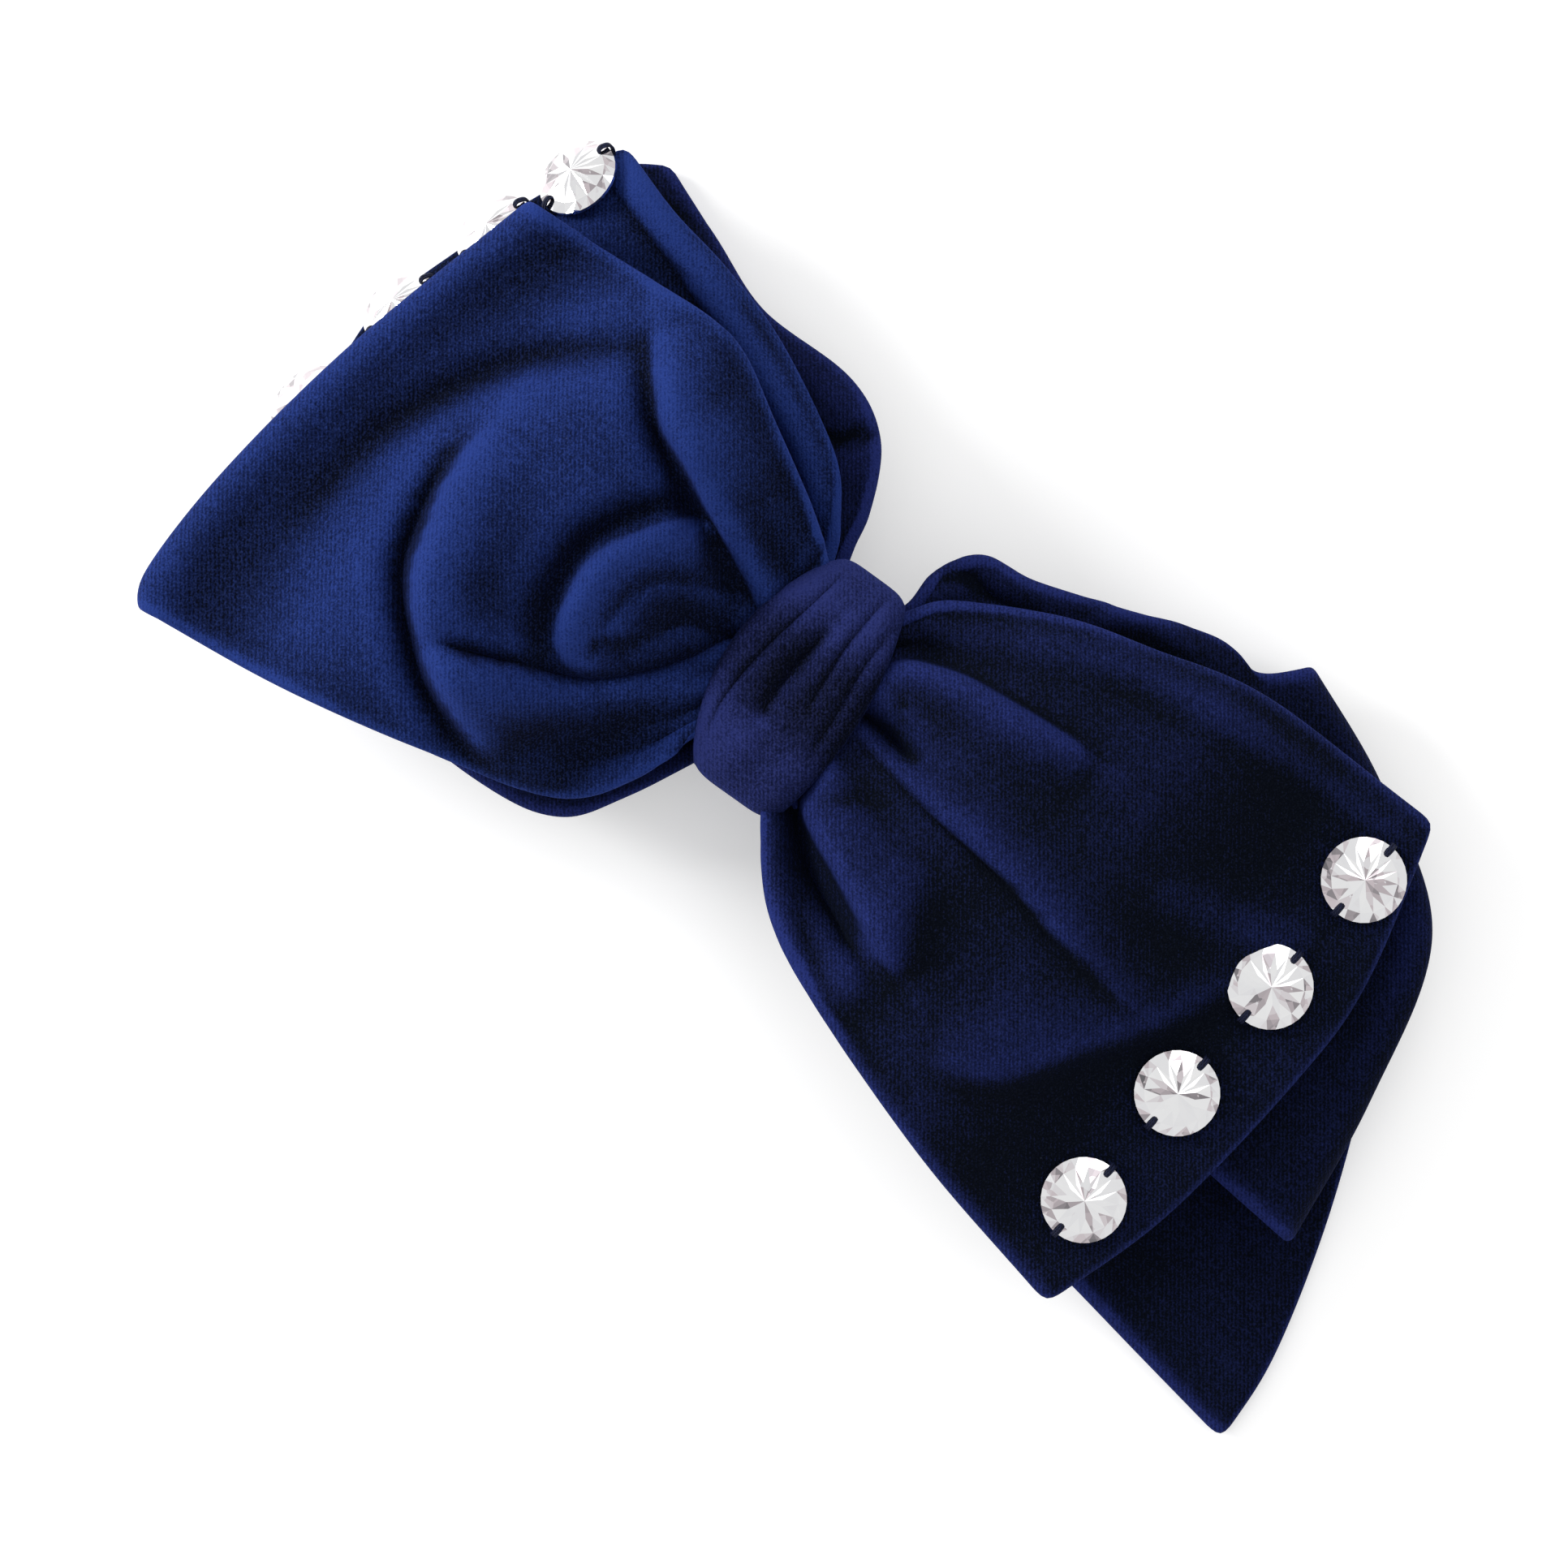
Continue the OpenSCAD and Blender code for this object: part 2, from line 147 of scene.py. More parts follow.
# Folds: the line in plan where the crisp edge shows, height, width on the soft side, width on the
# crisp side, and how far the crest leans over it. The crisp side is on the left of the line. A fold
# that doesn't lean is the same on both sides.
LOOP_FOLDS = [
    (
        [(-12, 4.5), (-17.2, 8.5), (-29, 14.3), (-35, 17.4), (-41.3, 20), (-45, 23.2), (-53, 31)],
        6.0, 8, 1.3, 1.6,
    ),
    ([(-17, 4.5), (-29, 11), (-37, 15.3), (-45, 20.5), (-51.5, 27)], -4.2, 2.8, 2.8, 0),
    ([(-46, 31), (-54, 26.5), (-66, 16), (-74, 4), (-79.7, -10), (-82, -31)], -4.6, 4.2, 4.2, 0),
    (
        [(-34, -39.5), (-46, -34.3), (-53, -29.8), (-59.5, -22.5), (-62, -15), (-64.3, -7.6), (-65, 5)],
        6.5, 8, 1.5, 1.0,
    ),
    ([(-36, -41), (-46, -36.8), (-54.5, -31.3), (-62, -23.3), (-65, -14.5), (-67, 0)], -5.6, 2.6, 2.6, 0),
    (
        [(-29, -19.7), (-35, -18.3), (-37.7, -11.8), (-38, -3.3), (-34, 5), (-27.4, 14.8)],
        5.6, 7, 1.2, 1.5,
    ),
    (
        [(-35, -21.5), (-39.5, -17.5), (-41.5, -10), (-41.3, -1.5), (-37.3, 7), (-30.5, 16)],
        -5.4, 3.2, 3.2, 0,
    ),
    (
        [(-29.6, -19.4), (-31, -13.6), (-30.7, -8.9), (-29.8, -3.2), (-26.2, 1.2), (-18, 5)],
        1.8, 4, 1.0, 0.5,
    ),
    ([(-27, -13), (-24.8, -8.4), (-21, -3.4), (-15, -1.5)], 1.3, 3, 1.0, 0.4),
    (
        [(-10, 3), (-14, -1.4), (-17.3, -7), (-22, -13.7), (-30, -20.4), (-40, -25), (-51, -29.5)],
        -3.0, 1.8, 1.2, 0,
    ),
    ([(-54, -28), (-47, -27), (-39, -24.5)], -3.0, 2, 2, 0),
    ([(-52, -33), (-42, -30), (-30, -25), (-20, -18), (-12, -10)], 2.8, 3.5, 3.5, 0),
    ([(-24, -38), (-33, -31), (-44, -31)], 1.6, 5, 5, 0),
]
TAIL_FOLDS = [
    ([(6, 0), (8.4, 5), (10.6, 12), (19, 15.6), (26, 16.8), (32, 17.4), (45, 19)], 5.0, 6, 1.2, 1.4),
    ([(6, 4), (10.7, 2.6), (15.7, 2.4), (24, 1)], -4.5, 2, 2, 0),
    (
        [(74, -12), (65.6, -10), (57.9, -8.8), (48, -6.1), (39, -4.7), (29, -3.9), (18.6, -2.8), (8, -1)],
        3.2, 8, 0.8, 0.9,
    ),
    (
        [(40, -30), (29.7, -24.8), (22, -21), (16.4, -18.5), (11.3, -15.2), (10.6, -9.8), (6, -5)],
        5.0, 6, 1.1, 1.4,
    ),
    ([(8, -13), (13.5, -19.5), (20.7, -24.3), (29, -28), (38, -32)], -4.6, 2.4, 2.4, 0),
    ([(31, -12), (34.5, -25), (33, -40)], 2.4, 4, 4, 0),
    ([(5, -16), (13, -27), (26, -38), (44, -47)], 2.6, 4, 2.5, 0),
    ([(93, 13), (77, 9), (64, 6)], 2.0, 5, 5, 0),
    ([(88, 4), (80.5, -9), (71, -21.5), (62.6, -33), (52, -38)], 3.4, 8, 3, 0.5),
    ([(97, 37), (75, 37), (45, 34), (20, 25)], 1.6, 3, 3, 0),
]
BACK_TAIL_FOLDS = [
    ([(-12, 22), (-25, 31), (-43.3, 38.9), (-55.7, 43.6), (-70, 47.8), (-78, 51)], 4.5, 3.2, 1.1, 0.9),
]
BACK_LOOP_FOLDS = [
    ([(6, 27), (10.5, 29.7), (14.2, 29.9), (19.6, 30.5), (28, 32)], -3.2, 1.6, 1.6, 0),
    ([(30, 35), (38, 41.5), (50, 43)], 1.2, 2.5, 1.0, 0),
    ([(12, 34), (24, 36.5), (40, 41), (58, 44)], 1.4, 3, 3, 0),
]
UNDER_PANEL_FOLDS = [
    ([(-6, 20), (-14, 37), (-26, 42), (-44, 43), (-66, 51)], 1.6, 4, 3, 0),
    ([(-12, 41), (-16, 39.2), (-19.2, 35.7), (-24, 34)], -1.8, 1.6, 1.6, 0),
]
UNDER_TAIL_FOLDS = [
    ([(40, -30), (70, -38), (105, -46)], 0.8, 9, 9, 0),
]
KNOT_FOLDS = [
    ([(-7, 18), (-10, 9), (-11.4, 0), (-10.8, -8), (-8, -17)], 0.9, 1.8, 1.8, 0),
    ([(-5, 17.4), (-5.8, 13), (-8.2, 1.2), (-8.8, -9), (-7, -16)], -1.1, 0.8, 0.8, 0),
    ([(-1.2, 10), (-2.8, 0.3), (-2.4, -9)], -2.6, 1.9, 1.9, 0),
    ([(-1, -7), (-2.4, -12), (-2, -18)], 0.9, 3.2, 3.2, 0),
    ([(0.5, 14), (0.2, 8), (0.8, 1)], 0.7, 1.1, 1.1, 0),
    ([(3, 18), (2.2, 10), (2.6, 2), (3.4, -4)], -1.0, 0.8, 0.8, 0),
    ([(6, 17), (6.2, 8), (7, 0), (7.4, -9)], -0.9, 0.8, 0.8, 0),
]


def ease(start, end, value):
    """0 up to start, 1 from end on, and smooth between them."""
    s = np.clip((value - start) / (end - start), 0, 1)
    return s * s * (3 - 2 * s)


def smooth_line(points, count):
    """That many points, evenly spaced, along a smooth curve through the given ones."""
    p = np.asarray(points, float)
    p = np.vstack([2 * p[0] - p[1], p, 2 * p[-1] - p[-2]])
    t = np.linspace(0, 1, 16, endpoint=False)[:, None]
    runs = [
        b + ((c - a) * t + (2 * a - 5 * b + 4 * c - d) * t**2 + (3 * b - a - 3 * c + d) * t**3) / 2
        for a, b, c, d in zip(p[:-3], p[1:-2], p[2:-1], p[3:])
    ]
    dense = np.vstack(runs + [p[-2:-1]])
    length = np.r_[0, np.cumsum(np.linalg.norm(np.diff(dense, axis=0), axis=1))]
    at = np.linspace(0, length[-1], count)
    return np.stack([np.interp(at, length, axis) for axis in dense.T], axis=1)


def along(points, shares):
    """Places on a smooth curve at the given shares of its length."""
    line = smooth_line(points, 400)
    steps = np.linspace(0, 1, len(line))
    return np.stack([np.interp(shares, steps, axis) for axis in line.T], axis=1)


def plan_grid(lobe, us, vs):
    """Plan of a lobe: u runs from the waist to the outer edge, v from the lower flank to the upper."""
    lower, upper = along(lobe["lower"], us), along(lobe["upper"], us)
    waist = along([lobe["lower"][0], lobe["upper"][0]], vs)
    edge = along(lobe["edge"], vs)
    u, v = us[:, None, None], vs[None, :, None]
    flanks = (1 - v) * lower[:, None] + v * upper[:, None]
    ends = (1 - u) * waist[None] + u * edge[None]
    corners = (1 - u) * ((1 - v) * waist[0] + v * waist[-1]) + u * ((1 - v) * edge[0] + v * edge[-1])
    return flanks + ends - corners


def cad_heights(node, turn):
    """Underside and top of a CAD lobe as functions of the distance from the knot along its turn."""
    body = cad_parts[node]
    heading = np.array([math.cos(math.radians(turn)), math.sin(math.radians(turn))])
    sideways = np.array([-heading[1], heading[0]])
    rows = []
    for distance in np.arange(2, 132, 2.0):
        lows, highs = [], []
        for offset in np.arange(-60, 61, 5.0):
            x, y = (distance * heading + offset * sideways) * MM
            above, high, _, _ = body.ray_cast((x, y, 0.2), (0, 0, -1))
            below, low, _, _ = body.ray_cast((x, y, -0.2), (0, 0, 1))
            if above and below:
                lows.append(low.z / MM)
                highs.append(high.z / MM)
        if lows:
            rows.append((distance, np.median(lows), np.median(highs)))
    at, low, high = np.array(rows).T
    window = np.hanning(5)[1:-1] / np.hanning(5)[1:-1].sum()
    beyond = at[-1] + 30

    def height(values):
        even = np.convolve(np.pad(values, 1, mode="edge"), window, "valid")
        even[-1] = values[-1]
        end = even[-1] + (even[-1] - even[-3]) / (at[-1] - at[-3]) * 30
        return lambda plan: np.interp(plan @ heading, np.r_[at, beyond], np.r_[even, end])

    return height(low), height(high)


def apply_folds(plan, folds):
    """How far the folds lift each place, how far they shift it sideways, and a painted highlight along the
    crest of each tall leaning fold.
    """
    rise = np.zeros(plan.shape[:-1])
    crest_highlights = np.zeros(plan.shape[:-1])
    shift = np.zeros_like(plan)
    for points, height, soft, crisp, lean in folds:
        line = smooth_line(points, 70)
        tangent = np.gradient(line, axis=0)
        tangent /= np.linalg.norm(tangent, axis=1, keepdims=True)
        left = np.stack([-tangent[:, 1], tangent[:, 0]], axis=1)
        away = plan[..., None, :] - line
        distance = np.linalg.norm(away, axis=-1)
        near = distance.argmin(axis=-1)
        offset = np.take_along_axis(away, near[..., None, None], -2)[..., 0, :]
        crest = -(lean + 0.8 * crisp) if lean else 0
        side = (offset * left[near]).sum(-1) - crest
        beyond = (offset * tangent[near]).sum(-1)
        width = np.where(side > 0, crisp, soft)
        taper = np.sin(np.pi * np.clip(near / (len(line) - 1), 0.01, 0.99)) ** 0.6
        taper = taper * np.exp(-((beyond / soft) ** 2))
        strength = np.exp(-((side / width) ** 2)) * taper
        rise += height * strength
        shift += lean * strength[..., None] * left[near]
        if lean:
            # A painted highlight along the crest of each tall leaning fold.
            shine = taper * ease(2.0, 5.5, height)
            crest_highlights = np.maximum(crest_highlights, np.exp(-(((side - 0.5 * crisp) / 1.3) ** 2)) * shine)
    return rise, shift, crest_highlights


def gathers(u, v, count, height):
    """Pleats that fan out of the knot and fade."""
    wave = np.sin(2 * np.pi * count * v + 1.3) + 0.5 * np.sin(2 * np.pi * (2 * count + 1) * v)
    return height * wave * ease(0.5, 0.12, u)


def unevenness(plan, height):
    """Slow waves that keep a cloth from looking pressed."""
    x, y = plan[..., 0], plan[..., 1]
    waves = np.sin(x / 9.1 + y / 13.7) + np.sin(x / 6.3 - y / 7.9 + 2) + np.sin(y / 5.7 + x / 23 + 4)
    return height * waves / 3


def under_knot(plan, z):
    """Keeps the front cloth below the wrap of the knot, and lets it rise beside it."""
    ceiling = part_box("knot_wrap")[1][2] / MM - 4.2 + 1.4 * np.maximum(np.abs(plan[..., 0]) - 10.5, 0)
    return np.minimum(z, ceiling)


def tail_grid(name, turn, folds, crown, droop):
    """Middle surface of a tail, a single panel."""
    lobe = LOBES[name]
    _, top = cad_heights(name, turn)
    reach = np.linalg.norm(np.subtract(lobe["edge"][0], lobe["lower"][0]))
    width = np.linalg.norm(np.subtract(lobe["edge"][0], lobe["edge"][-1]))
    rim = CLOTH_T / 2
    us = np.linspace(0, 1 - rim / reach, round(reach / GRID))
    vs = np.linspace(rim / width, 1 - rim / width, round(width / GRID))
    plan = plan_grid(lobe, us, vs)
    u, v = us[:, None], vs[None, :]
    across = (2 * v - 1) ** 2
    rise, shift, crest_highlights = apply_folds(plan, folds)
    z = top(plan) - CLOTH_T / 2 + rise + gathers(u, v, 3, 1.0) + unevenness(plan, 0.35)
    z += crown * (1 - across) * ease(0.05, 0.3, u) * ease(0.9, 0.6, u)
    z -= droop * across**2 * ease(0.2, 0.6, u)
    z = np.maximum(under_knot(plan, z), CLOTH_T / 2 + 0.3)
    return np.dstack([plan + shift, z]), crest_highlights


def loop_grid(name, turn, folds, nose, droop):
    """Middle surface of a loop: out along its front, round its fold and back underneath."""
    lobe = LOBES[name]
    low, top = cad_heights(name, turn)
    reach = np.linalg.norm(np.subtract(lobe["edge"][0], lobe["lower"][0]))
    width = np.linalg.norm(np.subtract(lobe["edge"][0], lobe["edge"][-1]))
    rim = CLOTH_T / 2
    straight = np.linspace(0, 1 - nose / reach, round(reach / GRID))
    bend = straight[-1] + nose / reach * np.sin(np.linspace(0, np.pi / 2, 9)[1:])
    us = np.r_[straight, bend] * (1 - rim / reach)
    vs = np.linspace(rim / width, 1 - rim / width, round(width / GRID))
    plan = plan_grid(lobe, us, vs)
    u, v = us[:, None], vs[None, :]
    across = (2 * v - 1) ** 2
    bottom_z = low(plan) + CLOTH_T / 2
    top_z = top(plan) - CLOTH_T / 2 - droop * across * ease(0.1, 0.5, u)
    rise, shift, crest_highlights = apply_folds(plan, folds)
    top_z = under_knot(plan, top_z + rise + gathers(u, v, 3, 0.9) + unevenness(plan, 0.4))
    top_z = np.maximum(top_z, bottom_z + CLOTH_T + 0.3)
    start = us[len(straight) - 1]
    round_off = np.sqrt(np.clip(1 - (np.maximum(u - start, 0) / (us[-1] - start)) ** 2, 0, 1))
    middle = (top_z + bottom_z) / 2
    half = (top_z - bottom_z) / 2
    middle = middle + (bottom_z + nose - middle) * ease(0.72, 1, u)
    half = half + (nose - half) * ease(0.72, 0.97, u)
    front = np.dstack([plan + shift * round_off[..., None], middle + half * round_off])
    back = np.dstack([plan, middle - half * round_off])
    return np.concatenate([front, back[-2::-1]]), np.concatenate([crest_highlights, 0 * crest_highlights[-2::-1]])


def unit(vectors):
    """The same directions at length 1."""
    return vectors / np.maximum(np.linalg.norm(vectors, axis=-1, keepdims=True), 1e-9)


def border(nu, nv):
    """The grid's outline as indices, once around."""
    first = [(i, 0) for i in range(nu)]
    end = [(nu - 1, j) for j in range(1, nv)]
    second = [(i, nv - 1) for i in range(nu - 2, -1, -1)]
    start = [(0, j) for j in range(nv - 2, 0, -1)]
    return np.array(first + end + second + start)


def shell(grid, thickness):
    """Points and faces of a closed sheet with rounded rims around a grid of points."""
    nu, nv = grid.shape[:2]
    du, dv = unit(np.gradient(grid, axis=0)), unit(np.gradient(grid, axis=1))
    normal = unit(np.cross(du, dv))
    if normal[nu // 4, nv // 2, 2] < 0:
        normal = -normal
    half = thickness / 2
    ring = border(nu, nv)
    i, j = ring.T
    away = np.where((i == nu - 1)[:, None], du[i, j], 0) - np.where((i == 0)[:, None], du[i, j], 0)
    away = away + np.where((j == nv - 1)[:, None], dv[i, j], 0) - np.where((j == 0)[:, None], dv[i, j], 0)
    away = unit(away)
    rims = [
        grid[i, j] + half * (math.cos(a) * away + math.sin(a) * normal[i, j])
        for a in (math.radians(50), 0, -math.radians(50))
    ]
    points = np.vstack([(grid + half * normal).reshape(-1, 3), (grid - half * normal).reshape(-1, 3), *rims])
    cells = np.arange(nu * nv).reshape(nu, nv)
    quads = np.stack([cells[:-1, :-1], cells[1:, :-1], cells[1:, 1:], cells[:-1, 1:]], -1).reshape(-1, 4)
    faces = [quads, quads[:, ::-1] + nu * nv]
    count = len(ring)
    rows = [cells[i, j]] + [2 * nu * nv + k * count + np.arange(count) for k in range(3)]
    rows.append(cells[i, j] + nu * nv)
    for a, b in zip(rows[:-1], rows[1:]):
        faces.append(np.stack([a, b, np.roll(b, -1), np.roll(a, -1)], -1))
    return points, np.vstack(faces), ring


def blurred(values, passes):
    """The grid of values averaged with its neighbours that many times."""
    for _ in range(passes):
        p = np.pad(values, 1, mode="edge")
        values = (p[:-2, 1:-1] + p[2:, 1:-1] + p[1:-1, :-2] + p[1:-1, 2:] + 4 * values) / 8
    return values


def painted_light_and_shade(grid, relief):
    """Painted light and shade on the velvet: 1 for a painted highlight on ridges and on slopes facing the
    key light, 0 for painted shade in creases.
    """
    # Ridges get a painted highlight and creases painted shade; slopes facing the key light get a painted
    # highlight, slopes facing away painted shade.
    small = relief - blurred(relief, 12)
    wide = relief - blurred(relief, 120)
    normal = unit(np.cross(np.gradient(grid, axis=0), np.gradient(grid, axis=1)))
    normal = normal * np.sign(normal[..., 2:])
    facing_painted_light = normal[..., 0] * PAINTED_LIGHT_FROM[0] + normal[..., 1] * PAINTED_LIGHT_FROM[1]
    return np.clip(0.36 + 0.46 * np.tanh(1.3 * small + 0.10 * wide + 0.75 * facing_painted_light), 0, 1)


def make_mesh(name, points, faces):
    """A smooth-shaded mesh from points in millimetres."""
    mesh = bpy.data.meshes.new(name)
    mesh.from_pydata((np.asarray(points) * MM).tolist(), [], np.asarray(faces).tolist())
    mesh.update()
    mesh.polygons.foreach_set("use_smooth", np.ones(len(mesh.polygons), bool))
    return mesh


def make_piece(name, mesh, material, slot, *nodes):
    """A visible piece on the body of the CAD nodes that it stands for."""
    piece = bpy.data.objects.new(name, mesh)
    bpy.context.scene.collection.objects.link(piece)
    mesh.materials.append(material)
    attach(piece, "root")
    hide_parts(*nodes)
    return piece


def add_painted_light(mesh, values):
    # Stores the painted light and shade on the mesh points for the velvet's colour ramp.
    attribute = mesh.attributes.new("painted_light", "FLOAT", "POINT")
    attribute.data.foreach_set("value", np.asarray(values, np.float32))


def cloth_piece(node, surface, material, slot):
    """A velvet panel or loop made from its middle surface, with painted highlights on the crest of its folds
    and along its rims, and painted shade on its underside.
    """
    grid, crest_highlights = surface
    points, faces, ring = shell(grid, CLOTH_T)
    light_and_shade = painted_light_and_shade(grid, grid[..., 2])
    across = np.arange(grid.shape[1])
    to_flank = np.minimum(across, across[::-1]) * GRID
    # Painted highlight along the flanks' edges, on top of the painted highlight on the fold crests.
    light_and_shade = np.clip(light_and_shade + 0.45 * crest_highlights, 0, 0.9) + 0.6 * np.exp(-((to_flank / 1.2) ** 2))
    # The underside takes painted shade at 0.6 of the top; the rounded rims take a painted highlight.
    rim = light_and_shade[ring[:, 0], ring[:, 1]]
    values = np.concatenate([light_and_shade.ravel(), light_and_shade.ravel() * 0.6, *(rim * 0.4 + 0.6 for _ in range(3))])
    mesh = make_mesh(node + "_cloth", points, faces)
    add_painted_light(mesh, values)
    piece = make_piece(node + "_cloth", mesh, material, slot, node)
    smooth = piece.modifiers.new("smooth", "SUBSURF")
    smooth.levels = smooth.render_levels = 1
    return piece


# Materials


class Nodes:
    """Short calls for building a material's node tree."""

    def __init__(self, name):
        self.material = bpy.data.materials.new(name)
        self.material.use_nodes = True
        self.tree = self.material.node_tree
        self.shader = self.tree.nodes["Principled BSDF"]

    def add(self, kind, **values):
        node = self.tree.nodes.new("ShaderNode" + kind)
        for key, value in values.items():
            if key in node.inputs:
                node.inputs[key].default_value = value
            else:
                setattr(node, key, value)
        return node

    def link(self, source, target):
        self.tree.links.new(source, target)

    def set(self, **values):
        for key, value in values.items():
            self.shader.inputs[key.replace("_", " ")].default_value = value

    def noise(self, place, scale, detail):
        node = self.add("TexNoise")
        node.inputs["Scale"].default_value = scale
        node.inputs["Detail"].default_value = detail
        self.link(place, node.inputs["Vector"])
        return node.outputs[0]

    def ramp(self, factor, stops):
        """Colours that follow a factor, from (position, colour) stops."""
        node = self.add("ValToRGB")
        elements = node.color_ramp.elements
        while len(elements) < len(stops):
            elements.new(0.5)
        for element, (position, colour) in zip(elements, stops):
            element.position = position
            element.color = (*colour, 1)
        self.link(factor, node.inputs[0])
        return node.outputs[0]

    def mapped(self, value, **limits):
        node = self.add("MapRange")
        for key, limit in limits.items():
            node.inputs[key.replace("_", " ")].default_value = limit
        self.link(value, node.inputs[0])
        return node.outputs[0]

    def add_colour(self, factor, base, colour):
        node = self.add("Mix", data_type="RGBA", blend_type="ADD")
        self.link(factor, node.inputs[0])
        self.link(base, node.inputs[6])
        node.inputs[7].default_value = (*colour, 1)
        return node.outputs[2]

    def bump(self, height, strength, distance, under=None):
        node = self.add("Bump")
        node.inputs["Strength"].default_value = strength
        node.inputs["Distance"].default_value = distance
        self.link(height, node.inputs["Height"])
        if under is not None:
            self.link(under, node.inputs["Normal"])
        return node.outputs[0]

    def maths(self, operation, a, b):
        node = self.add("Math", operation=operation)
        for socket, value in zip(node.inputs, (a, b)):
            if isinstance(value, (int, float)):
                socket.default_value = value
            else:
                self.link(value, socket)
        return node.outputs[0]


def band_scale(spacing):
    """The wave texture's scale that puts its bands that far apart."""
    return 2 * math.pi / 20 / spacing


def velvet_ribs(n, place):
    """The fine ribs of the ground, which run up the picture."""
    turned = n.add("Mapping")
    turned.inputs["Rotation"].default_value = (0, 0, -PICTURE_TURN)
    n.link(place, turned.inputs["Vector"])
    rib = n.add("TexWave", wave_type="BANDS", bands_direction="X")
    rib.inputs["Scale"].default_value = band_scale(RIB_SPACING)
    rib.inputs["Distortion"].default_value = 1.2
    rib.inputs["Detail"].default_value = 2
    rib.inputs["Detail Scale"].default_value = 2
    n.link(turned.outputs[0], rib.inputs["Vector"])
    return rib.outputs["Fac"]


def velvet_colour(n, place, light_shade_and_grain, fibre, colours):
    """Dark to bright with the painted light and shade, with a little lint and a pale painted glint on the
    fibres.
    """
    dark, bright, glint_colour = colours
    middle = tuple(0.68 * a + 0.32 * b for a, b in zip(dark, bright))
    # Dark under painted shade, bright under painted light; the grain noises only jitter it.
    ground = n.ramp(light_shade_and_grain, ((0.05, dark), (0.5, middle), (1.0, bright)))
    lint = n.add("TexVoronoi", feature="F1")
    lint.inputs["Scale"].default_value = 150
    n.link(place, lint.inputs["Vector"])
    speck = n.maths("LESS_THAN", lint.outputs["Distance"], 0.024)
    dusted = n.add_colour(speck, ground, (0.012, 0.014, 0.022))
    # Painted glint: where the fibre noise is high, a pale colour is added as a painted highlight.
    glint = n.mapped(fibre, From_Min=0.46, From_Max=0.72)
    return n.add_colour(glint, dusted, glint_colour)


def velvet(name, dark, bright, glint_colour, lift, sheen):
    """Velvet: dark under painted shade, bright under painted light, over a fine ribbed ground."""
    n = Nodes(name)
    place = n.add("TexCoord").outputs["Object"]
    rib = velvet_ribs(n, place)
    fibre, tuft, brushed = (n.noise(place, *size) for size in ((3000, 2), (900, 2), (60, 4)))
    # The attribute holds the painted light and shade worked out on the mesh.
    light_and_shade = n.add("Attribute", attribute_name="painted_light").outputs["Fac"]
    light_shade_and_grain = n.maths("ADD", light_and_shade, lift)
    for texture, weight in ((fibre, 1.1), (tuft, 0.45), (brushed, 0.4), (rib, 0.25)):
        swing = n.maths("MULTIPLY", n.maths("SUBTRACT", texture, 0.5), weight)
        light_shade_and_grain = n.maths("ADD", light_shade_and_grain, swing)
    colour = velvet_colour(n, place, light_shade_and_grain, fibre, (dark, bright, glint_colour))
    n.link(colour, n.shader.inputs["Base Color"])
    n.link(n.mapped(fibre, To_Min=0.75, To_Max=1.0), n.shader.inputs["Roughness"])
    ground = n.bump(rib, 0.25, 0.0002)
    n.link(n.bump(fibre, 0.6, 0.0005, ground), n.shader.inputs["Normal"])
    n.set(Specular_IOR_Level=0.03, Sheen_Weight=sheen, Sheen_Roughness=0.35)
    n.set(Sheen_Tint=(*SHEEN_TINT, 1))
    return n.material


def brushed_steel(name, colour):
    """Nickel-plated sheet steel with fine brushing and a few dull patches."""
    n = Nodes(name)
    place = n.add("TexCoord").outputs["Object"]
    stretched = n.add("Mapping")
    stretched.inputs["Scale"].default_value = (40, 2600, 900)
    n.link(place, stretched.inputs["Vector"])
    brushing = n.noise(stretched.outputs[0], 1, 3)
    n.link(n.mapped(brushing, To_Min=0.18, To_Max=0.42), n.shader.inputs["Roughness"])
    dull = tuple(0.8 * c for c in colour)
    patches = n.ramp(n.noise(place, 260, 2), ((0.0, dull), (1.0, colour)))
    n.link(patches, n.shader.inputs["Base Color"])
    n.link(n.bump(brushing, 0.2, 0.00005), n.shader.inputs["Normal"])
    n.set(Metallic=1.0)
    return n.material


def thread_material():
    """Twisted navy sewing thread."""
    n = Nodes("thread_navy")
    place = n.add("TexCoord").outputs["Object"]
    wave = n.add("TexWave", wave_type="BANDS", bands_direction="DIAGONAL")
    wave.inputs["Scale"].default_value = band_scale(TWIST_SPACING)
    n.link(place, wave.inputs["Vector"])
    twist = wave.outputs["Fac"]
    shades = n.ramp(twist, ((0.0, (0.002, 0.003, 0.012)), (1.0, (0.006, 0.010, 0.040))))
    n.link(shades, n.shader.inputs["Base Color"])
    n.link(n.bump(twist, 0.6, 0.0001), n.shader.inputs["Normal"])
    n.set(Roughness=0.6, Specular_IOR_Level=0.2)
    return n.material


